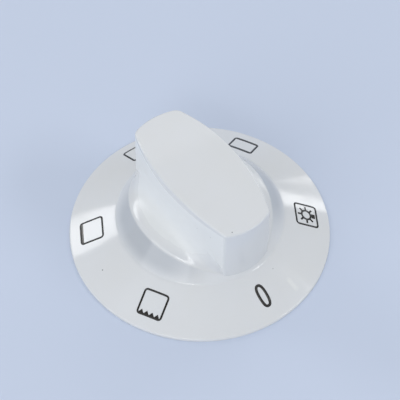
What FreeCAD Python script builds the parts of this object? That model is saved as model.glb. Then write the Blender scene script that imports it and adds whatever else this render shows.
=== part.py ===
import FreeCAD, Part
import math
import os
import re
import Sketcher

# Oven control knob, one white moulding with a steel leaf in its shaft socket.
# Z is the shaft axis and points away from the panel, z = 0 is the rim's resting plane,
# and the pointer end of the grip looks along -Y. Lengths are millimetres, slopes degrees.
SIZES = {
    "rim_radius": 30.0,
    "rim_edge": 0.6,
    "rim_round": 0.5,
    "rim_land": 1.4,
    "rim_bead": 0.2,
    "skirt_slope": 28.5,
    "skirt_wall": 1.8,
    "hub_radius": 19.2,
    "hub_slope": 52.0,
    "hub_wall": 2.2,
    "hub_foot_round": 1.2,
    "grip_height": 23.85,
    "grip_length": 37.5,
    "grip_width": 17.94,
    "grip_end_radius": 14.0,
    "flank_radius": 52.0,
    "crown_radius": 125.0,
    "pointer_corner_round": 0.8,
    "tail_corner_round": 2.4,
    "grip_edge_round": 0.5,
    "grip_wall": 2.2,
    "grip_roof": 3.6,
    "scoop_top": 20.3,
    "scoop_length": 34.3,
    "scoop_foot": 0.7,
    "scoop_lap": 0.5,
    "hollow_reach": 0.84,
    "hollow_tighten": 0.5,
    "floor_share": 0.4,
    "floor_lift": 0.13,
    "ridge_reach": 0.22,
    "ridge_ease": 0.81,
    "shoulder_width": 30.6,
    "shoulder_radius": 20.2,
    "shoulder_inset": 0.12,
    "shoulder_ledge": 0.08,
    "block_top": 20.0,
    "cut_lap": 1.0,
    "hollow_roof": 9.5,
    "stem_radius": 5.2,
    "stem_recess": 1.0,
    "rib_wall": 1.4,
    "rib_recess": 4.0,
    "shaft_diameter": 6.0,
    "shaft_over_flat": 4.6,
    "shaft_clearance": 0.1,
    "socket_depth": 15.0,
    "slot_depth": 0.9,
    "slot_length": 12.0,
    "slot_clearance": 0.1,
    "leaf_wall": 0.4,
    "leaf_width": 4.2,
    "leaf_bow": 0.45,
    "leaf_length": 11.0,
}

doc = FreeCAD.newDocument("oven_knob")
sheet = doc.addObject("Spreadsheet::Sheet", "Sizes")
for row, (alias, value) in enumerate(SIZES.items(), start=1):
    sheet.set("A%d" % row, alias)
    sheet.set("B%d" % row, str(value))
    sheet.setAlias("B%d" % row, alias)
doc.recompute()


def sized(text):
    return re.sub(r"\w+", lambda word: "Sizes." * (word[0] in SIZES) + word[0], text)


def number(text):
    return float(sheet.evalExpression(sized(text)))


def add_body(name):
    body = doc.addObject("PartDesign::Body", name)
    body.Label = name
    return body


def add_sketch(body, name, role, offset=None):
    plane = next(item for item in body.Origin.OriginFeatures if item.Role == role)
    sketch = body.newObject("Sketcher::SketchObject", name)
    sketch.AttachmentSupport = [(plane, "")]
    sketch.MapMode = "FlatFace"
    if offset is not None:
        sketch.setExpression("AttachmentOffset.Base.z", sized(offset))
    return sketch


def constrain(sketch, kind, *where, size=None):
    if size is None:
        sketch.addConstraint(Sketcher.Constraint(kind, *where))
        return
    # A dimension starts from the value as drawn and then follows its size.
    if kind == "Radius":
        drawn = sketch.Geometry[where[0]].Radius
    else:
        point = sketch.getPoint(*where[2:])
        drawn = point.x if kind == "DistanceX" else point.y
    index = sketch.addConstraint(Sketcher.Constraint(kind, *where, drawn))
    name = "%s_%d" % (kind, index)
    sketch.renameConstraint(index, name)
    sketch.setExpression("Constraints." + name, sized(size))


def pin_point(sketch, geometry, end, x, y):
    constrain(sketch, "DistanceX", -1, 1, geometry, end, size=x)
    constrain(sketch, "DistanceY", -1, 1, geometry, end, size=y)


def draw_polygon(sketch, corners, bends=None):
    # Lines from corner to corner. A bend makes an arc of the piece that starts at that corner,
    # with its centre on the left (1) or the right (-1) of the way round.
    points = [FreeCAD.Vector(number(x), number(y), 0) for x, y in corners]
    ring = []
    for i, (here, there) in enumerate(zip(points, points[1:] + points[:1])):
        radius, side = (bends or {}).get(i, (None, 1))
        if radius is None:
            piece = sketch.addGeometry(Part.LineSegment(here, there))
        else:
            piece = draw_bend(sketch, here, there, number(radius), side)
            constrain(sketch, "Radius", piece, size=radius)
        ring.append((piece, 1, 2) if side > 0 else (piece, 2, 1))
    for i, (x, y) in enumerate(corners):
        piece, start, _ = ring[i]
        before, _, end = ring[i - 1]
        constrain(sketch, "Coincident", before, end, piece, start)
        pin_point(sketch, piece, start, x, y)


def draw_bend(sketch, here, there, radius, side):
    chord = there - here
    depth = math.sqrt(radius ** 2 - (chord.Length / 2) ** 2)
    left = FreeCAD.Vector(-chord.y, chord.x, 0).normalize()
    centre = (here + there) / 2 + left * depth * side
    first, last = (here - centre, there - centre) if side > 0 else (there - centre, here - centre)
    start = math.degrees(math.atan2(first.y, first.x))
    end = math.degrees(math.atan2(last.y, last.x))
    return draw_arc(sketch, (centre.x, centre.y), radius, start, end)


def draw_circle(sketch, radius):
    circle = sketch.addGeometry(Part.Circle(FreeCAD.Vector(0, 0, 0), FreeCAD.Vector(0, 0, 1), 5))
    constrain(sketch, "Coincident", circle, 3, -1, 1)
    constrain(sketch, "Radius", circle, size=radius)


def draw_arc(sketch, centre, radius, start, end):
    circle = Part.Circle(FreeCAD.Vector(*centre, 0), FreeCAD.Vector(0, 0, 1), radius)
    return sketch.addGeometry(Part.ArcOfCircle(circle, math.radians(start), math.radians(end)))


def draw_grip_plan(sketch, inset):
    # Two long flank arcs closed by two end arcs, all moved inwards by the inset.
    reach = SIZES["flank_radius"] - SIZES["grip_width"] / 2
    lead = SIZES["grip_length"] / 2 - SIZES["grip_end_radius"]
    right = draw_arc(sketch, (-reach, 0), SIZES["flank_radius"], -20, 20)
    tail = draw_arc(sketch, (0, lead), SIZES["grip_end_radius"], 65, 115)
    left = draw_arc(sketch, (reach, 0), SIZES["flank_radius"], 160, 200)
    pointer = draw_arc(sketch, (0, -lead), SIZES["grip_end_radius"], 245, 295)
    ring = [right, tail, left, pointer]
    for i, arc in enumerate(ring):
        constrain(sketch, "Coincident", arc, 2, ring[(i + 1) % 4], 1)
    for arc, side in ((right, "-1"), (left, "1")):
        constrain(sketch, "Radius", arc, size="flank_radius - " + inset)
        pin_point(sketch, arc, 3, side + " * (flank_radius - grip_width / 2)", "0")
    for arc, side in ((tail, "1"), (pointer, "-1")):
        constrain(sketch, "Radius", arc, size="grip_end_radius - " + inset)
        pin_point(sketch, arc, 3, "0", side + " * (grip_length / 2 - grip_end_radius)")


def revolve(body, sketch, name):
    feature = body.newObject("PartDesign::Revolution", name)
    feature.Profile = sketch
    feature.ReferenceAxis = (sketch, ["V_Axis"])
    feature.Angle = 360
    return feature


def pad(body, sketch, name, length, both_ways=False):
    feature = body.newObject("PartDesign::Pad", name)
    feature.Profile = sketch
    feature.setExpression("Length", sized(length))
    feature.Midplane = both_ways
    return feature


def pocket_up(body, sketch, name, length):
    feature = body.newObject("PartDesign::Pocket", name)
    feature.Profile = sketch
    feature.setExpression("Length", sized(length))
    feature.Reversed = True
    return feature


def fillet(body, base, name, radius, chosen):
    doc.recompute()
    names = ["Edge%d" % (i + 1) for i, edge in enumerate(base.Shape.Edges) if chosen(edge)]
    feature = body.newObject("PartDesign::Fillet", name)
    feature.Base = (base, names)
    feature.setExpression("Radius", sized(radius))
    return feature


# Heights on the skirt's cone and on the hub's steeper cone at a given radius.
HUB_FOOT = "(rim_edge + (rim_radius - hub_radius) * tan(skirt_slope))"


def hub_height(radius):
    return "(%s + (hub_radius - %s) * tan(hub_slope))" % (HUB_FOOT, radius)


def make_skirt_hub():
    body = add_body("skirt_hub")
    profile = add_sketch(body, "skirt_hub_profile", "XZ_Plane")
    hub_top = "(hub_radius - (block_top - %s) / tan(hub_slope))" % HUB_FOOT
    rim_run = "(rim_round * tan((90 - skirt_slope) / 2))"
    foot_run = "(hub_foot_round * tan((hub_slope - skirt_slope) / 2))"
    draw_polygon(profile, [
        ("0", "0"),
        ("rim_radius", "0"),
        ("rim_radius", "rim_edge - " + rim_run),
        ("rim_radius - %s * cos(skirt_slope)" % rim_run, "rim_edge + %s * sin(skirt_slope)" % rim_run),
        ("hub_radius + %s * cos(skirt_slope)" % foot_run, "%s - %s * sin(skirt_slope)" % (HUB_FOOT, foot_run)),
        ("hub_radius - %s * cos(hub_slope)" % foot_run, "%s + %s * sin(hub_slope)" % (HUB_FOOT, foot_run)),
        (hub_top, "block_top"),
        ("0", "block_top"),
    ], {2: ("rim_round", 1), 4: ("hub_foot_round", -1)})
    revolve(body, profile, "skirt_hub_turned")
    add_shoulder(body)
    cut_scoops(body)
    return body


def shoulder_at(along):
    return "(shoulder_width / 2 - shoulder_radius + sqrt(shoulder_radius ^ 2 - (%s) ^ 2))" % along


def flank_at(along):
    return "(grip_width / 2 - flank_radius + sqrt(flank_radius ^ 2 - (%s) ^ 2))" % along


def add_shoulder(body):
    # The mass beside the grip's foot that the finger scoops are sunk into.
    sketch = add_sketch(body, "shoulder_plan", "XY_Plane")
    reach = SIZES["shoulder_radius"] - SIZES["shoulder_width"] / 2
    half = SIZES["scoop_length"] / 2
    right = draw_arc(sketch, (-reach, 0), SIZES["shoulder_radius"], -44, 44)
    tail = sketch.addGeometry(Part.LineSegment(FreeCAD.Vector(7, half, 0), FreeCAD.Vector(-7, half, 0)))
    left = draw_arc(sketch, (reach, 0), SIZES["shoulder_radius"], 136, 224)
    pointer = sketch.addGeometry(Part.LineSegment(FreeCAD.Vector(-7, -half, 0), FreeCAD.Vector(7, -half, 0)))
    ring = [right, tail, left, pointer]
    for i, piece in enumerate(ring):
        constrain(sketch, "Coincident", piece, 2, ring[(i + 1) % 4], 1)
    for arc, side in ((right, "-1"), (left, "1")):
        constrain(sketch, "Radius", arc, size="shoulder_radius")
        pin_point(sketch, arc, 3, side + " * (shoulder_radius + shoulder_inset - shoulder_width / 2)", "0")
    constrain(sketch, "Horizontal", tail)
    constrain(sketch, "Horizontal", pointer)
    constrain(sketch, "DistanceY", -1, 1, tail, 1, size="scoop_length / 2 - shoulder_ledge / 2")
    constrain(sketch, "DistanceY", -1, 1, pointer, 1, size="shoulder_ledge / 2 - scoop_length / 2")
    pad(body, sketch, "shoulder", "block_top")


def cut_scoops(body):
    # Sections across the grip, from its tail to its pointer. A hollow leaves the flank upright
    # below an arched line and runs out over a rounded ridge onto the hub's cone. The hollow is
    # wide and round in the middle and tightens towards the grip's corners.
    arch_power = 8
    middle_lap = 0.1
    sections = []
    for share in (-1.0, -0.93, -0.86, -0.76, -0.6, -0.35, 0.0, 0.35, 0.6, 0.76, 0.86, 0.93, 1.0):
        rise = 1 - abs(share) ** arch_power
        outness = share ** 2
        along = "(%.4f * scoop_length / 2)" % share
        inner = "(%s - %.4f * scoop_lap)" % (flank_at(along), middle_lap + (1 - middle_lap) * outness)
        edge = shoulder_at(along)
        far = "sqrt(%s ^ 2 + %s ^ 2)" % (along, edge)
        lean = "(ridge_ease * tan(hub_slope) * %s / %s)" % (edge, far)
        brink = "(%s - shoulder_ledge)" % hub_height(far)
        start = "(%s + scoop_foot + %.6f * (scoop_top - scoop_foot - %s))" % (brink, rise, brink)
        drop = "(hollow_reach * (1 - hollow_tighten * %.4f) * (%s - %s))" % (outness, start, brink)
        room = "(%s - %s)" % (edge, inner)
        back = "(ridge_reach * %s)" % room
        sketch = add_sketch(body, "scoop_section_%d" % len(sections), "XZ_Plane", along)
        draw_scoop_section(sketch, [
            (inner, start),
            (inner, "%s - %s" % (start, drop)),
            ("%s + floor_share * %s" % (inner, room), "%s + floor_lift * %s" % (brink, room)),
            ("%s - %s" % (edge, back), "%s + %s * %s" % (brink, back, lean)),
            (edge, brink),
        ])
        sections.append(sketch)
    loft = body.newObject("PartDesign::SubtractiveLoft", "scoop")
    loft.Profile = sections[0]
    loft.Sections = sections[1:]
    doc.recompute()
    mirror = body.newObject("PartDesign::Mirrored", "scoop_pair")
    mirror.Originals = [loft]
    plane = next(item for item in body.Origin.OriginFeatures if item.Role == "YZ_Plane")
    mirror.MirrorPlane = (plane, [""])
    body.Tip = mirror


def draw_curve(sketch, poles):
    # One smooth curve, held by its poles.
    drawn = [FreeCAD.Vector(number(x), number(y), 0) for x, y in poles]
    curve = sketch.addGeometry(Part.BSplineCurve(drawn, None, None, False, len(drawn) - 1, None, False))
    marks = [sketch.addGeometry(Part.Circle(point, FreeCAD.Vector(0, 0, 1), 1), True) for point in drawn]
    constrain(sketch, "Weight", marks[0], 1.0)
    for i, mark in enumerate(marks):
        if i:
            constrain(sketch, "Equal", marks[0], mark)
        constrain(sketch, "InternalAlignment:Sketcher::BSplineControlPoint", mark, 3, curve, i)
    for mark, (x, y) in zip(marks, poles):
        pin_point(sketch, mark, 3, x, y)
    return curve


def draw_scoop_section(sketch, poles):
    # The hollow's curve, closed round the air above it.
    curve = draw_curve(sketch, poles)
    roof = "grip_height + cut_lap"
    floor = poles[-1][1]
    corners = [poles[-1], ("rim_radius", floor), ("rim_radius", roof), (poles[0][0], roof), poles[0]]
    points = [FreeCAD.Vector(number(x), number(y), 0) for x, y in corners]
    lines = [sketch.addGeometry(Part.LineSegment(a, b)) for a, b in zip(points, points[1:])]
    ring = [curve] + lines
    for i, piece in enumerate(ring):
        constrain(sketch, "Coincident", piece, 2, ring[(i + 1) % len(ring)], 1)
    pin_point(sketch, lines[1], 2, "rim_radius", roof)
    constrain(sketch, "Horizontal", lines[0])
    constrain(sketch, "Vertical", lines[1])
    constrain(sketch, "Horizontal", lines[2])
    constrain(sketch, "Vertical", lines[3])


def make_grip():
    body = add_body("grip_blade")
    plan = add_sketch(body, "grip_plan", "XY_Plane")
    draw_grip_plan(plan, "0")
    blade = pad(body, plan, "blade", "grip_height")

    def corner_at(side):
        def chosen(edge):
            box = edge.BoundBox
            return box.XLength + box.YLength < 1e-4 and box.Center.y * side > 0
        return chosen

    pointer = fillet(body, blade, "pointer_corners", "pointer_corner_round", corner_at(-1))
    fillet(body, pointer, "tail_corners", "tail_corner_round", corner_at(1))
    crown = add_sketch(body, "crown_profile", "YZ_Plane")
    centre = SIZES["grip_height"] - SIZES["crown_radius"]
    arc = draw_arc(crown, (0, centre), SIZES["crown_radius"], 76, 104)
    corners = [FreeCAD.Vector(x, y, 0) for x, y in ((-30, 20), (-30, 26), (30, 26), (30, 20))]
    lines = [crown.addGeometry(Part.LineSegment(a, b)) for a, b in zip(corners, corners[1:])]
    ring = [arc] + lines
    for i, piece in enumerate(ring):
        constrain(crown, "Coincident", piece, 2, ring[(i + 1) % len(ring)], 1)
    constrain(crown, "Radius", arc, size="crown_radius")
    pin_point(crown, arc, 3, "0", "grip_height - crown_radius")
    pin_point(crown, lines[1], 1, "-1 * grip_length", "grip_height + cut_lap")
    pin_point(crown, lines[1], 2, "grip_length", "grip_height + cut_lap")
    constrain(crown, "Vertical", lines[0])
    constrain(crown, "Vertical", lines[2])
    cut = body.newObject("PartDesign::Pocket", "crown")
    cut.Profile = crown
    cut.setExpression("Length", sized("2 * grip_width"))
    cut.Midplane = True

    def on_crown(edge):
        return edge.BoundBox.ZMin > SIZES["grip_height"] / 2

    fillet(body, cut, "grip_edges", "grip_edge_round", on_crown)
    return body


def make_core():
    # The space under the moulding: skirt and hub hollow, grip core, stem, ribs and socket.
    body = add_body("underside_core")
    profile = add_sketch(body, "hollow_profile", "XZ_Plane")
    drop = "skirt_wall / cos(skirt_slope)"
    inner = "(hub_radius - hub_wall / sin(hub_slope))"
    skirt_under = "(rim_edge + (rim_radius - %s) * tan(skirt_slope) - %s)"
    brink = "(rim_radius - rim_land)"
    knee = skirt_under % (inner, drop)
    throat = "(%s - (hollow_roof - %s) / tan(hub_slope))" % (inner, knee)
    start = "(rim_radius + (rim_edge - rim_bead - %s) / tan(skirt_slope))" % drop
    draw_polygon(profile, [
        ("0", "-1 * cut_lap"),
        (brink, "-1 * cut_lap"),
        (brink, "rim_bead"),
        (start, "rim_bead"),
        (inner, knee),
        (throat, "hollow_roof"),
        ("0", "hollow_roof"),
    ])
    revolve(body, profile, "hollow")
    plan = add_sketch(body, "core_plan", "XY_Plane")
    draw_grip_plan(plan, "grip_wall")
    pad(body, plan, "grip_core", "grip_height - grip_roof")
    stem = add_sketch(body, "stem_plan", "XY_Plane", "stem_recess")
    draw_circle(stem, "stem_radius")
    pocket_up(body, stem, "stem", "grip_height")
    for name, x, y in (("cross", "rim_radius", "rib_wall / 2"), ("long", "rib_wall / 2", "rim_radius")):
        plan = add_sketch(body, name + "_rib_plan", "XY_Plane", "rib_recess")
        draw_polygon(plan, [("-1 * " + x, "-1 * " + y), (x, "-1 * " + y), (x, y), ("-1 * " + x, y)])
        pocket_up(body, plan, name + "_ribs", "grip_height")
    socket = add_sketch(body, "socket_plan", "XY_Plane")
    draw_socket(socket)
    pad(body, socket, "socket", "stem_recess + socket_depth")
    slot = add_sketch(body, "slot_plan", "XY_Plane")
    half = "(leaf_width / 2 + slot_clearance)"
    draw_polygon(slot, [("-1 * " + half, "0"), (half, "0"), (half, FLAT + " + slot_depth"),
                        ("-1 * " + half, FLAT + " + slot_depth")])
    pad(body, slot, "leaf_slot", "stem_recess + slot_length")
    return body


# The socket's flat stands this far from the shaft axis, on the tail side.
FLAT = "(shaft_over_flat - shaft_diameter / 2 + shaft_clearance)"


def draw_socket(sketch):
    arc = draw_arc(sketch, (0, 0), 3.1, 147, 393)
    flat = sketch.addGeometry(Part.LineSegment(FreeCAD.Vector(2.6, 1.7, 0), FreeCAD.Vector(-2.6, 1.7, 0)))
    constrain(sketch, "Coincident", arc, 2, flat, 1)
    constrain(sketch, "Coincident", flat, 2, arc, 1)
    constrain(sketch, "Coincident", arc, 3, -1, 1)
    constrain(sketch, "Radius", arc, size="shaft_diameter / 2 + shaft_clearance")
    constrain(sketch, "Horizontal", flat)
    constrain(sketch, "DistanceY", -1, 1, flat, 1, size=FLAT)


def make_spring():
    # A leaf bowed towards the shaft, its two ends against the back of the slot.
    body = add_body("shaft_spring")
    side = add_sketch(body, "leaf_side", "YZ_Plane")
    back = "(%s + slot_depth)" % FLAT
    middle = "(stem_recess + slot_length / 2)"
    bow = "(((leaf_length / 2) ^ 2 + leaf_bow ^ 2) / (2 * leaf_bow))"
    outer = draw_arc(side, (36, 7), 34, 171, 189)
    inner = draw_arc(side, (36, 7), 33.6, 171, 189)
    top = side.addGeometry(Part.LineSegment(FreeCAD.Vector(2.1, 12.5, 0), FreeCAD.Vector(2.5, 12.5, 0)))
    foot = side.addGeometry(Part.LineSegment(FreeCAD.Vector(2.1, 1.5, 0), FreeCAD.Vector(2.5, 1.5, 0)))
    constrain(side, "Coincident", outer, 1, top, 1)
    constrain(side, "Coincident", inner, 1, top, 2)
    constrain(side, "Coincident", outer, 2, foot, 1)
    constrain(side, "Coincident", inner, 2, foot, 2)
    constrain(side, "Coincident", outer, 3, inner, 3)
    constrain(side, "Radius", inner, size=bow)
    constrain(side, "Radius", outer, size=bow + " + leaf_wall")
    constrain(side, "DistanceY", -1, 1, inner, 3, size=middle)
    constrain(side, "DistanceX", -1, 1, inner, 1, size=back)
    constrain(side, "DistanceX", -1, 1, inner, 2, size=back)
    constrain(side, "DistanceY", -1, 1, inner, 1, size=middle + " + leaf_length / 2")
    constrain(side, "Horizontal", top)
    constrain(side, "Horizontal", foot)
    pad(body, side, "leaf", "leaf_width", both_ways=True)
    return body


def make_knob():
    outside = doc.addObject("Part::Fuse", "outside")
    outside.Base = make_skirt_hub()
    outside.Tool = make_grip()
    knob = doc.addObject("Part::Cut", "knob_body")
    knob.Base = outside
    knob.Tool = make_core()
    knob.Label = "knob_body"
    return knob


parts = [make_knob(), make_spring()]
doc.recompute()
for item in doc.Objects:
    if "Invalid" in item.State or "Error" in item.State:
        raise RuntimeError("%s failed: %s" % (item.Name, item.State))
for part in parts:
    if part.Shape.isNull() or not part.Shape.isValid():
        raise RuntimeError("%s has no valid shape" % part.Label)
os.makedirs("parts", exist_ok=True)
for part in parts:
    part.Shape.exportStep("parts/%s.step" % part.Label)
    print(part.Label, round(part.Shape.Volume, 1), "mm3")
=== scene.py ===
import math

import bmesh
import bpy
from mathutils import Matrix, Vector


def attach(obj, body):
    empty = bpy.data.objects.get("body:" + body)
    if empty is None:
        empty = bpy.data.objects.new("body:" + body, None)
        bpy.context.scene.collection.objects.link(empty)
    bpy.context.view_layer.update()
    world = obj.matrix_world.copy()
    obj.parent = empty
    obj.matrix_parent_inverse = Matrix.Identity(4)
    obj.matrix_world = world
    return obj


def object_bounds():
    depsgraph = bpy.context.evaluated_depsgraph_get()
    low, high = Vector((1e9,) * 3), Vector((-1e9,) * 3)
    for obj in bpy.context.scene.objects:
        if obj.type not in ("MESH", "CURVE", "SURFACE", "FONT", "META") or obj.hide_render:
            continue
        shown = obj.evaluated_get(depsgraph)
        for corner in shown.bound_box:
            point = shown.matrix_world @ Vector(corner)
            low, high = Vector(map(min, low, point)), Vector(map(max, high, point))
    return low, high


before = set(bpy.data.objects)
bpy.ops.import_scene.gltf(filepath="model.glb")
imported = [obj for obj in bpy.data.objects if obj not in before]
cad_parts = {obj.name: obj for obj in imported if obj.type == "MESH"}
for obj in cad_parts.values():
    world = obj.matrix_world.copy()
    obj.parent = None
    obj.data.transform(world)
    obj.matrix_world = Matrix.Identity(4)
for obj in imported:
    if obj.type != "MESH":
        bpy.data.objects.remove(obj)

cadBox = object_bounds()
mm = 0.001
print("frame loaded:", sorted(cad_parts))


def hexLinear(code):
    parts = [int(code[i:i + 2], 16) / 255 for i in (1, 3, 5)]
    return tuple(p / 12.92 if p <= 0.04045 else ((p + 0.055) / 1.055) ** 2.4 for p in parts) + (1.0,)


def fillInputs(tree, node, inputs):
    for key, value in inputs.items():
        if isinstance(value, bpy.types.NodeSocket):
            tree.links.new(value, node.inputs[key])
        else:
            node.inputs[key].default_value = value


def addNode(tree, kind, inputs=None, **settings):
    node = tree.nodes.new(kind)
    for name, value in settings.items():
        setattr(node, name, value)
    fillInputs(tree, node, inputs or {})
    return node


def addMath(tree, operation, *values):
    return addNode(tree, "ShaderNodeMath", dict(enumerate(values)), operation=operation).outputs[0]


def addVector(tree, x=0.0, y=0.0, z=0.0):
    return addNode(tree, "ShaderNodeCombineXYZ", {"X": x, "Y": y, "Z": z}).outputs[0]


def addLength(tree, vector):
    return addNode(tree, "ShaderNodeVectorMath", {0: vector}, operation="LENGTH").outputs["Value"]


def addRange(tree, value, span, result, **settings):
    return addNode(tree, "ShaderNodeMapRange", {
        "Value": value, "From Min": span[0], "From Max": span[1],
        "To Min": result[0], "To Max": result[1]}, **settings).outputs["Result"]


def addFade(tree, length, near, far):
    # One at near, nothing at far, both in mm.
    return addRange(tree, length, (near * mm, far * mm), (1.0, 0.0), interpolation_type="SMOOTHSTEP")


def addNoise(tree, place, patch, detail, roughness):
    # The patch is the size of one blot, in mm.
    return addNode(tree, "ShaderNodeTexNoise", {
        "Vector": place, "Scale": 1 / (patch * mm), "Detail": detail, "Roughness": roughness}).outputs["Fac"]


def addMix(tree, share, under, over):
    # Inputs 6 and 7 of a Mix node are its two colours, and output 2 is the mixed colour.
    return addNode(tree, "ShaderNodeMix", {
        "Factor": share, 6: under, 7: over}, data_type="RGBA").outputs[2]


def newMaterial(name):
    material = bpy.data.materials.new(name)
    material.use_nodes = True
    tree = material.node_tree
    return material, tree, tree.nodes["Principled BSDF"]


# The cones of the skirt and hub, and the arcs of the ridge round the scoops, in mm and degrees.
skirt = {"rimRadius": cadBox[1][0] / mm, "rimEdge": 0.6, "slope": 28.5}
hub = {"radius": 19.2, "slope": 52.0, "ridgeRadius": 20.2, "ridgeWidth": 30.6}


def skirtHeight(radius):
    return skirt["rimEdge"] + (skirt["rimRadius"] - radius) * math.tan(math.radians(skirt["slope"]))


# Gloss white PBT, straight from a polished mould: clean reflections on a milky body.
whitePbt = {
    "body": "#e2e4e6",
    "warmPatch": "#dfe0df",
    "clouding": (9.0, 2.0, 0.45),  # patch of tone in mm, detail, roughness
    "ior": 1.55,
    "roughness": (0.09, 0.15),
    "handling": (4.0, 4.0, 0.6),   # the same for patches of gloss
    "glossSpread": (0.35, 0.7),    # the part of that noise that the gloss follows
    "waves": (3.5, 1.0, 0.5),      # the same for the faint waves of the moulding
    "waveDepth": 0.02,             # mm
    "waveStrength": 0.12,
    "milkiness": 0.12,
    "milkDepth": 0.6,              # mm that light runs under the surface
    "milkTint": (1.0, 0.95, 0.9),
}

# Painted shade and painted light on the moulding, with dirt specks, a pale smear and the dulling of
# wear. Each pair of lengths is where a fade begins and ends, in mm.
wearAndPaintedShading = {
    # Painted shade: this grey is laid on the hub's cone outside the ridge.
    "film": "#bfc3c7",
    "paintedShadeRidge": (-0.1, 0.3),     # out from the ridge
    "paintedShadeReach": (0.3, 1.0),      # off the hub's cone
    "paintedShadeFade": (17.4, 20.2),     # from the axis
    "paintedShadeEnds": (8.0, 17.0),      # along the grip
    # Painted light: this paler tone is laid inside the ridge and up the flanks, where the roughness is also
    # raised.
    "paintedLightTone": "#ebedec",
    "rubbedAndLitRidge": (-2.8, -0.5),  # out from the ridge
    "rubbedAndLitAbove": (2.8, 0.0),    # over the hub's cone
    "rubbedAndLitTop": (21.5, 22.5),    # up the grip
    "rubbedAndLitFade": (18.3, 19.0),   # from the axis
    "rubbedAndLitEnds": (16.7, 17.3),   # along the grip
    "dulling": 0.2,               # added to the roughness where fingers rub
    "speck": "#3a3732",
    "specks": [                   # place, radius and depth of tone
        ((-25.47, 2.02, 3.01), 0.20, 0.75),
        ((-4.12, -17.2, 22.56), 0.22, 0.7),
        ((-8.04, -9.79, 18.8), 0.16, 0.35),
        ((-7.15, -13.62, 18.91), 0.16, 0.35),
        ((5.14, -20.82, 5.24), 0.18, 0.35),
    ],
    # A pale smear painted on the skirt as a row of dots.
    "paleSmear": "#f2f3ef",
    "paleSmearEnds": ((7.15, -24.2, 3.19), (7.6, -26.46, 1.94)),
    "paleSmearDots": 6,
    "paleSmearDot": (0.8, 0.22),      # radius and depth of tone
}


def markPaintedShadingAndRub(tree, place):
    # A grey tone on the hub's cone outside the ridge is painted shade. Inside the ridge and up the
    # flanks a paler tone is painted light, and fingers have dulled the moulding there.
    x, y, z = addNode(tree, "ShaderNodeSeparateXYZ", {"Vector": place}).outputs
    sideways = addMath(tree, "ABSOLUTE", x)
    lengthways = addMath(tree, "ABSOLUTE", y)
    ridgeShift = hub["ridgeRadius"] - hub["ridgeWidth"] / 2
    reach = addLength(tree, addVector(tree, addMath(tree, "ADD", sideways, ridgeShift * mm), y))
    beyond = addMath(tree, "SUBTRACT", reach, hub["ridgeRadius"] * mm)
    radius = addLength(tree, addVector(tree, x, y))
    steepness = math.tan(math.radians(hub["slope"]))
    apex = (skirtHeight(hub["radius"]) + hub["radius"] * steepness) * mm
    above = addMath(tree, "SUBTRACT", z, addMath(tree, "MULTIPLY_ADD", radius, -steepness, apex))
    away = addMath(tree, "ABSOLUTE", above)
    film = addMath(tree, "SUBTRACT", 1.0, addFade(tree, beyond, *wearAndPaintedShading["paintedShadeRidge"]))
    for length, fade in ((away, "paintedShadeReach"), (radius, "paintedShadeFade"), (lengthways, "paintedShadeEnds")):
        film = addMath(tree, "MULTIPLY", film, addFade(tree, length, *wearAndPaintedShading[fade]))
    inside = addFade(tree, beyond, *wearAndPaintedShading["rubbedAndLitRidge"])
    rubbedAndLit = addMath(tree, "MAXIMUM", inside, addFade(tree, above, *wearAndPaintedShading["rubbedAndLitAbove"]))
    for length, fade in ((z, "rubbedAndLitTop"), (radius, "rubbedAndLitFade"), (lengthways, "rubbedAndLitEnds")):
        rubbedAndLit = addMath(tree, "MULTIPLY", rubbedAndLit, addFade(tree, length, *wearAndPaintedShading[fade]))
    return film, rubbedAndLit


def listMarks():
    marks = [(centre, radius, depth, wearAndPaintedShading["speck"]) for centre, radius, depth in wearAndPaintedShading["specks"]]
    start, end = (Vector(place) for place in wearAndPaintedShading["paleSmearEnds"])
    last = wearAndPaintedShading["paleSmearDots"] - 1
    for dot in range(wearAndPaintedShading["paleSmearDots"]):
        marks.append((start.lerp(end, dot / last), *wearAndPaintedShading["paleSmearDot"], wearAndPaintedShading["paleSmear"]))
    return marks


def makeWhitePbt():
    material, tree, shader = newMaterial("gloss_white_pbt")
    spec = whitePbt
    place = addNode(tree, "ShaderNodeTexCoord").outputs["Object"]
    film, rubbedAndLit = markPaintedShadingAndRub(tree, place)
    cloud = addNoise(tree, place, *spec["clouding"])
    colour = addMix(tree, cloud, hexLinear(spec["body"]), hexLinear(spec["warmPatch"]))
    # The film mix is painted shade on the hub's cone; the next mix is painted light inside the ridge.
    colour = addMix(tree, film, colour, hexLinear(wearAndPaintedShading["film"]))
    colour = addMix(tree, rubbedAndLit, colour, hexLinear(wearAndPaintedShading["paintedLightTone"]))
    for centre, radius, depth, tone in listMarks():
        away = addNode(tree, "ShaderNodeVectorMath", {
            0: place, 1: [c * mm for c in centre]}, operation="DISTANCE").outputs["Value"]
        mark = addRange(tree, away, (radius / 2 * mm, radius * mm), (depth, 0.0))
        colour = addMix(tree, mark, colour, hexLinear(tone))
    handled = addNoise(tree, place, *spec["handling"])
    gloss = addRange(tree, handled, spec["glossSpread"], spec["roughness"])
    bump = addNode(tree, "ShaderNodeBump", {
        "Height": addNoise(tree, place, *spec["waves"]),
        "Strength": spec["waveStrength"], "Distance": spec["waveDepth"] * mm})
    fillInputs(tree, shader, {
        "Base Color": colour,
        "Roughness": addMath(tree, "MULTIPLY_ADD", rubbedAndLit, wearAndPaintedShading["dulling"], gloss),
        "Normal": bump.outputs["Normal"],
        "IOR": spec["ior"],
        "Subsurface Weight": spec["milkiness"],
        "Subsurface Radius": spec["milkTint"],
        "Subsurface Scale": spec["milkDepth"] * mm})
    return material


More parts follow.
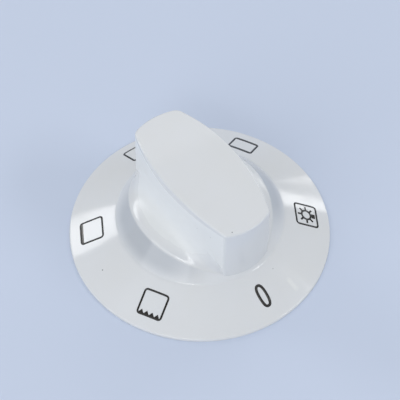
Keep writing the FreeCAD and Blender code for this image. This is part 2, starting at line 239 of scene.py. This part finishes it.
# Cold rolled spring strip: bright grey with fine rolling lines along its length.
springStrip = {
    "steel": "#b3b2ae",
    "line": "#8f8e8b",
    "lines": (0.18, 3.0, 0.5),  # pitch in mm, detail, roughness
    "lineStretch": 0.04,        # the lines' width as a share of their length
    "lineDepth": 0.01,          # mm
    "lineStrength": 0.25,
    "roughness": (0.26, 0.4),
}


def makeSpringSteel():
    material, tree, shader = newMaterial("rolled_spring_steel")
    spec = springStrip
    place = addNode(tree, "ShaderNodeTexCoord").outputs["Object"]
    along = addNode(tree, "ShaderNodeMapping", {
        "Vector": place, "Scale": (1.0, 1.0, spec["lineStretch"])}).outputs["Vector"]
    lines = addNoise(tree, along, *spec["lines"])
    bump = addNode(tree, "ShaderNodeBump", {
        "Height": lines, "Strength": spec["lineStrength"], "Distance": spec["lineDepth"] * mm})
    fillInputs(tree, shader, {
        "Base Color": addMix(tree, lines, hexLinear(spec["steel"]), hexLinear(spec["line"])),
        "Roughness": addRange(tree, lines, (0.0, 1.0), spec["roughness"]),
        "Normal": bump.outputs["Normal"],
        "Metallic": 1.0})
    return material


# Pad-printed epoxy ink: a thin warm black film almost as glossy as the plastic under it.
padInk = {
    "ink": "#1d1b17",
    "thin": "#2b2924",
    "mottle": (0.5, 3.0, 0.5),  # patch in mm, detail, roughness
    "roughness": 0.16,
    "ior": 1.5,
}


def makePadInk():
    material, tree, shader = newMaterial("pad_print_ink")
    spec = padInk
    place = addNode(tree, "ShaderNodeTexCoord").outputs["Object"]
    mottle = addNoise(tree, place, *spec["mottle"])
    fillInputs(tree, shader, {
        "Base Color": addMix(tree, mottle, hexLinear(spec["ink"]), hexLinear(spec["thin"])),
        "Roughness": spec["roughness"],
        "IOR": spec["ior"]})
    return material


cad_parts["knob_body"].material_slots[0].material = makeWhitePbt()
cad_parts["shaft_spring"].material_slots[0].material = makeSpringSteel()
inkMaterial = makePadInk()
print("materials set")


# The dial print, in mm and degrees. Up in a symbol is outwards on the skirt.
dial = {
    "radius": 24.69,
    "first": -90.0,
    "step": 60.0,
    "side": 5.66,
    "corner": 0.6,
    "stroke": 0.45,
    "bar": 0.85,      # outline and heat bar together
    "film": 0.04,
    "proud": 0.02,    # how far the film stands out of the skirt
    "segment": 0.16,  # between the points of a stroke
    "weld": 0.001,
}


def startTree(name, sockets):
    tree = bpy.data.node_groups.new(name, "GeometryNodeTree")
    tree.interface.new_socket(name="Geometry", in_out="OUTPUT", socket_type="NodeSocketGeometry")
    for socket, kind in sockets.items():
        tree.interface.new_socket(name=socket, in_out="INPUT", socket_type="NodeSocket" + kind)
    return tree, addNode(tree, "NodeGroupInput").outputs


def endTree(tree, shapes):
    join = addNode(tree, "GeometryNodeJoinGeometry")
    for shape in shapes:
        tree.links.new(shape, join.inputs["Geometry"])
    real = addNode(tree, "GeometryNodeRealizeInstances", {"Geometry": join.outputs["Geometry"]})
    inked = addNode(tree, "GeometryNodeSetMaterial", {
        "Geometry": real.outputs["Geometry"], "Material": inkMaterial})
    addNode(tree, "NodeGroupOutput", {"Geometry": inked.outputs["Geometry"]})
    return tree


def strokeAlong(tree, curve, width, segment):
    start = addVector(tree, addMath(tree, "MULTIPLY", width, -0.5))
    end = addVector(tree, addMath(tree, "MULTIPLY", width, 0.5))
    nib = addNode(tree, "GeometryNodeCurvePrimitiveLine", {"Start": start, "End": end})
    even = addNode(tree, "GeometryNodeResampleCurve", {"Curve": curve, "Length": segment}, mode="LENGTH")
    return addNode(tree, "GeometryNodeCurveToMesh", {
        "Curve": even.outputs["Curve"], "Profile Curve": nib.outputs["Curve"]}).outputs["Mesh"]


def makeFrameTree():
    tree, given = startTree("cavity_outline", {
        "Side": "Float", "Corner Radius": "Float", "Stroke": "Float", "Segment": "Float"})
    square = addNode(tree, "GeometryNodeCurvePrimitiveQuadrilateral", {
        "Width": given["Side"], "Height": given["Side"]})
    rounded = addNode(tree, "GeometryNodeFilletCurve", {
        "Curve": square.outputs["Curve"], "Radius": given["Corner Radius"], "Count": 8}, mode="POLY")
    return endTree(tree, [strokeAlong(tree, rounded.outputs["Curve"], given["Stroke"], given["Segment"])])


def makeBarTree():
    tree, given = startTree("heat_bar", {"Width": "Float", "Depth": "Float", "Middle": "Float"})
    bar = addNode(tree, "GeometryNodeMeshGrid", {
        "Size X": given["Width"], "Size Y": given["Depth"], "Vertices X": 33, "Vertices Y": 4})
    moved = addNode(tree, "GeometryNodeTransform", {
        "Geometry": bar.outputs["Mesh"], "Translation": addVector(tree, y=given["Middle"])})
    return endTree(tree, [moved.outputs["Geometry"]])


# The teeth of the grill sign, in mm.
teeth = {"Count": 4, "Pitch": 1.28, "Height": 0.85}


def makeTeethTree():
    tree, given = startTree("grill_teeth", {
        "Count": "Int", "Pitch": "Float", "Height": "Float", "Base Line": "Float"})
    spans = addMath(tree, "SUBTRACT", given["Count"], 1.0)
    reach = addMath(tree, "MULTIPLY", spans, given["Pitch"])
    row = addNode(tree, "GeometryNodeMeshLine", {
        "Count": given["Count"],
        "Start Location": addVector(tree, addMath(tree, "MULTIPLY", reach, -0.5), given["Base Line"]),
        "Offset": addVector(tree, given["Pitch"])})
    # A three-sided disc of radius one has a base of root three and a height of one and a half. It is
    # stretched to a tooth with its base on the line and its point inwards.
    disc = addNode(tree, "GeometryNodeMeshCircle", {"Vertices": 3, "Radius": 1.0}, fill_type="NGON")
    turned = addNode(tree, "GeometryNodeTransform", {
        "Geometry": disc.outputs["Mesh"], "Rotation": (0.0, 0.0, -math.pi / 2),
        "Translation": (0.0, -0.5, 0.0)})
    width = addMath(tree, "DIVIDE", given["Pitch"], math.sqrt(3))
    height = addMath(tree, "DIVIDE", given["Height"], 1.5)
    row = addNode(tree, "GeometryNodeInstanceOnPoints", {
        "Points": row.outputs["Mesh"], "Instance": turned.outputs["Geometry"],
        "Scale": addVector(tree, width, height, 1.0)})
    return endTree(tree, [row.outputs["Instances"]])


# The lamp sign, in mm. A ray higher than the free share of the ring makes room for the cap.
lamp = {"Rays": 8, "Ray Middle": 1.82, "Ray Length": 0.86, "Stroke": 0.46, "Bulb Radius": 1.19,
        "Segment": dial["segment"], "Cap Width": 1.15, "Cap Depth": 0.95, "Free Share": 0.9}


def makeLampTree():
    tree, given = startTree("lamp_rays", {
        "Rays": "Int", "Ray Middle": "Float", "Ray Length": "Float", "Stroke": "Float",
        "Bulb Radius": "Float", "Segment": "Float", "Cap Width": "Float", "Cap Depth": "Float",
        "Free Share": "Float"})
    ring = addNode(tree, "GeometryNodeMeshCircle", {
        "Vertices": given["Rays"], "Radius": given["Ray Middle"]})
    ray = addNode(tree, "GeometryNodeMeshGrid", {
        "Size X": given["Ray Length"], "Size Y": given["Stroke"], "Vertices X": 4, "Vertices Y": 3})
    place = addNode(tree, "GeometryNodeInputPosition").outputs["Position"]
    outward = addNode(tree, "FunctionNodeAlignRotationToVector", {"Vector": place}, axis="X")
    # The lamp's cap takes the place of the ray that points outwards on the skirt.
    height = addNode(tree, "ShaderNodeSeparateXYZ", {"Vector": place}).outputs["Y"]
    nearCap = addMath(tree, "MULTIPLY", given["Ray Middle"], given["Free Share"])
    free = addNode(tree, "FunctionNodeCompare", {"A": height, "B": nearCap}, operation="LESS_THAN")
    rays = addNode(tree, "GeometryNodeInstanceOnPoints", {
        "Points": ring.outputs["Mesh"], "Instance": ray.outputs["Mesh"],
        "Rotation": outward.outputs["Rotation"], "Selection": free.outputs["Result"]})
    bulb = addNode(tree, "GeometryNodeCurvePrimitiveCircle", {
        "Radius": given["Bulb Radius"], "Resolution": 64})
    glass = strokeAlong(tree, bulb.outputs["Curve"], given["Stroke"], given["Segment"])
    cap = addNode(tree, "GeometryNodeMeshGrid", {
        "Size X": given["Cap Width"], "Size Y": given["Cap Depth"], "Vertices X": 6, "Vertices Y": 6})
    outer = addMath(tree, "MULTIPLY_ADD", given["Stroke"], 0.5, given["Bulb Radius"])
    seat = addMath(tree, "MULTIPLY_ADD", given["Cap Depth"], 0.5, outer)
    socket = addNode(tree, "GeometryNodeTransform", {
        "Geometry": cap.outputs["Mesh"], "Translation": addVector(tree, y=seat)})
    return endTree(tree, [rays.outputs["Instances"], glass, socket.outputs["Geometry"]])


# The zero, in mm. Its fullness is the power of the oval, two for an ellipse.
zero = {"Half Width": 0.92, "Half Length": 2.5, "Fullness": 2.5, "Stroke": 0.64, "Segment": dial["segment"]}


def makeZeroTree():
    tree, given = startTree("zero_oval", {
        "Half Width": "Float", "Half Length": "Float", "Fullness": "Float",
        "Stroke": "Float", "Segment": "Float"})
    circle = addNode(tree, "GeometryNodeCurvePrimitiveCircle", {"Radius": 1.0, "Resolution": 128})
    place = addNode(tree, "GeometryNodeInputPosition").outputs["Position"]
    split = addNode(tree, "ShaderNodeSeparateXYZ", {"Vector": place}).outputs
    power = addMath(tree, "DIVIDE", 2.0, given["Fullness"])
    sides = []
    for axis, size in (("X", "Half Width"), ("Y", "Half Length")):
        full = addMath(tree, "POWER", addMath(tree, "ABSOLUTE", split[axis]), power)
        signed = addMath(tree, "MULTIPLY", full, addMath(tree, "SIGN", split[axis]))
        sides.append(addMath(tree, "MULTIPLY", signed, given[size]))
    shaped = addNode(tree, "GeometryNodeSetPosition", {
        "Geometry": circle.outputs["Curve"], "Position": addVector(tree, *sides)})
    return endTree(tree, [strokeAlong(tree, shaped.outputs["Geometry"], given["Stroke"], given["Segment"])])


def growFlat(tree, values):
    carrier = bpy.data.objects.new(tree.name, bpy.data.meshes.new(tree.name))
    bpy.context.scene.collection.objects.link(carrier)
    grower = carrier.modifiers.new("grow", "NODES")
    grower.node_group = tree
    for item in tree.interface.items_tree:
        if item.in_out == "INPUT":
            grower[item.identifier] = values[item.name]
    ready = carrier.evaluated_get(bpy.context.evaluated_depsgraph_get())
    mesh = bpy.data.meshes.new_from_object(ready)
    bpy.data.objects.remove(carrier)
    return mesh


def layOnSkirt(point, turn, shift):
    # From the flat drawing, through the plane that touches the skirt there, onto the cone.
    slope = math.radians(skirt["slope"])
    angle = math.radians(dial["first"] + dial["step"] * turn)
    radial = Vector((math.cos(angle), math.sin(angle)))
    across = Vector((-radial.y, radial.x))
    outwards = dial["radius"] + (point.y + shift[1]) * math.cos(slope)
    flat = radial * outwards + across * (point.x + shift[0])
    lean = flat.normalized() * math.sin(slope)
    normal = Vector((lean.x, lean.y, math.cos(slope)))
    return (Vector((flat.x, flat.y, skirtHeight(flat.length))) + normal * dial["proud"]) * mm


def printSymbol(name, turn, shift, flats):
    drawing = bmesh.new()
    for flat in flats:
        drawing.from_mesh(flat)
        bpy.data.meshes.remove(flat)
    bmesh.ops.remove_doubles(drawing, verts=drawing.verts, dist=dial["weld"])
    for vertex in drawing.verts:
        vertex.co = layOnSkirt(vertex.co, turn, shift)
    drawing.normal_update()
    for face in drawing.faces:
        if face.normal.z < 0:
            face.normal_flip()
    mesh = bpy.data.meshes.new(name)
    drawing.to_mesh(mesh)
    drawing.free()
    mesh.materials.append(inkMaterial)
    piece = bpy.data.objects.new(name, mesh)
    bpy.context.scene.collection.objects.link(piece)
    film = piece.modifiers.new("film", "SOLIDIFY")
    film.thickness = dial["film"] * mm
    film.offset = -1.0
    ready = piece.evaluated_get(bpy.context.evaluated_depsgraph_get())
    piece.data = bpy.data.meshes.new_from_object(ready)
    piece.modifiers.clear()
    bpy.data.meshes.remove(mesh)
    piece.data.name = name
    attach(piece, "root")


frameTree = makeFrameTree()
barTree = makeBarTree()
teethTree = makeTeethTree()
lampTree = makeLampTree()
zeroTree = makeZeroTree()
innerEdge = (dial["side"] - dial["stroke"]) / 2


def outline():
    return growFlat(frameTree, {"Side": dial["side"], "Corner Radius": dial["corner"],
                                "Stroke": dial["stroke"], "Segment": dial["segment"]})


def heatBar(side):
    depth = dial["bar"] - dial["stroke"]
    middle = side * (innerEdge - depth / 2)
    return growFlat(barTree, {"Width": 2 * innerEdge, "Depth": depth, "Middle": middle})


def grillTeeth():
    return growFlat(teethTree, {**teeth, "Base Line": innerEdge})


# Each symbol's place on the dial, and how far off it the pad set the print, in mm.
printSymbol("print_zero", 0, (-0.30, -0.20), [growFlat(zeroTree, zero)])
printSymbol("print_lamp", 1, (-0.33, -0.25), [outline(), growFlat(lampTree, lamp)])
printSymbol("print_top_and_bottom_heat", 2, (-0.12, -0.35), [outline(), heatBar(1), heatBar(-1)])
printSymbol("print_bottom_heat", 3, (0.0, 0.0), [outline(), heatBar(-1)])
printSymbol("print_top_heat", 4, (0.15, 0.15), [outline(), heatBar(1)])
printSymbol("print_grill", 5, (-0.18, 0.10), [outline(), grillTeeth()])
print("dial printed")


# Matt card, pale enough to lift the shadows: lengths in metres, its drop below the rim in mm.
floorLook = {"colour": "#ccd6e8", "roughness": 0.75, "half": 1.6, "drop": 0.02}


def makeFloor():
    material, tree, shader = newMaterial("matt_card")
    fillInputs(tree, shader, {
        "Base Color": hexLinear(floorLook["colour"]), "Roughness": floorLook["roughness"]})
    half = floorLook["half"]
    drop = -floorLook["drop"] * mm
    mesh = bpy.data.meshes.new("floor")
    mesh.from_pydata([(-half, -half, drop), (half, -half, drop), (half, half, drop), (-half, half, drop)],
                     [], [(0, 1, 2, 3)])
    mesh.materials.append(material)
    floor = bpy.data.objects.new("floor", mesh)
    bpy.context.scene.collection.objects.link(floor)


# The photo's angle, in degrees. Distance and offsets are in rim radii, the focal length in pixels of
# the frame, the sensor in mm and the near clip in metres.
viewpoint = {
    "turn": -36.53, "elevation": 53.84, "roll": 1.2,
    "aside": 0.0013, "lift": 0.2342, "distance": 13.39,
    "focal": 1742.0, "frame": 400, "sensor": 36.0, "clipStart": 0.01,
}


def aimCamera():
    spec = viewpoint
    elevation = math.radians(spec["elevation"])
    spin = Matrix.Rotation(math.radians(spec["turn"]), 3, "Z")
    back = spin @ Vector((0.0, -math.cos(elevation), math.sin(elevation)))
    tilt = Matrix.Rotation(math.radians(spec["roll"]), 3, back)
    right = tilt @ spin @ Vector((1.0, 0.0, 0.0))
    up = back.cross(right)
    place = right * spec["aside"] + up * spec["lift"] + back * spec["distance"]
    place *= skirt["rimRadius"] * mm
    camera = bpy.data.objects.new("camera", bpy.data.cameras.new("camera"))
    camera.data.sensor_width = spec["sensor"]
    camera.data.lens = spec["sensor"] * spec["focal"] / spec["frame"]
    camera.data.clip_start = spec["clipStart"]
    camera.matrix_world = Matrix.Translation(place) @ Matrix((right, up, back)).transposed().to_4x4()
    bpy.context.scene.collection.objects.link(camera)
    bpy.context.scene.camera = camera


# Azimuth from the camera's right and elevation in degrees; distance, width and height in metres; watts.
softBoxes = [
    ("left_box", 147.0, 27.0, 0.60, 0.20, 0.15, 0.40),
    ("right_box", 50.0, 16.0, 0.60, 0.10, 0.06, 0.085),
    ("right_low_box", 50.0, 6.0, 0.60, 0.20, 0.06, 0.10),
    ("back_strip", 66.0, 28.0, 0.70, 0.40, 0.18, 0.34),
    ("back_box", 92.0, 38.0, 0.80, 0.60, 0.30, 0.30),
    ("top_box", 90.0, 70.0, 0.90, 1.60, 1.40, 1.15),
    ("left_front_box", 230.0, 28.0, 0.70, 0.70, 0.50, 1.45),
    ("camera_box", 257.0, 45.0, 0.70, 0.25, 0.10, 0.35),
    ("right_front_box", 349.0, 36.0, 0.70, 0.34, 0.12, 0.85),
    ("front_box", 278.0, 26.0, 0.80, 1.50, 0.60, 0.40),
]
skyLook = {"colour": "#e5eaf2", "strength": 0.54}


def hangLights():
    for name, azimuth, elevation, distance, width, height, watts in softBoxes:
        light = bpy.data.lights.new(name, "AREA")
        light.shape = "RECTANGLE"
        light.size = width
        light.size_y = height
        light.energy = watts
        around = math.radians(azimuth + viewpoint["turn"])
        up = math.radians(elevation)
        away = Vector((math.cos(around) * math.cos(up), math.sin(around) * math.cos(up), math.sin(up)))
        box = bpy.data.objects.new(name, light)
        box.matrix_world = (Matrix.Translation(away * distance)
                            @ away.to_track_quat("Z", "Y").to_matrix().to_4x4())
        bpy.context.scene.collection.objects.link(box)
    world = bpy.data.worlds.new("studio")
    world.use_nodes = True
    fillInputs(world.node_tree, world.node_tree.nodes["Background"], {
        "Color": hexLinear(skyLook["colour"]), "Strength": skyLook["strength"]})
    bpy.context.scene.world = world


makeFloor()
aimCamera()
hangLights()
bpy.context.scene.view_settings.view_transform = "Standard"
print("studio ready")
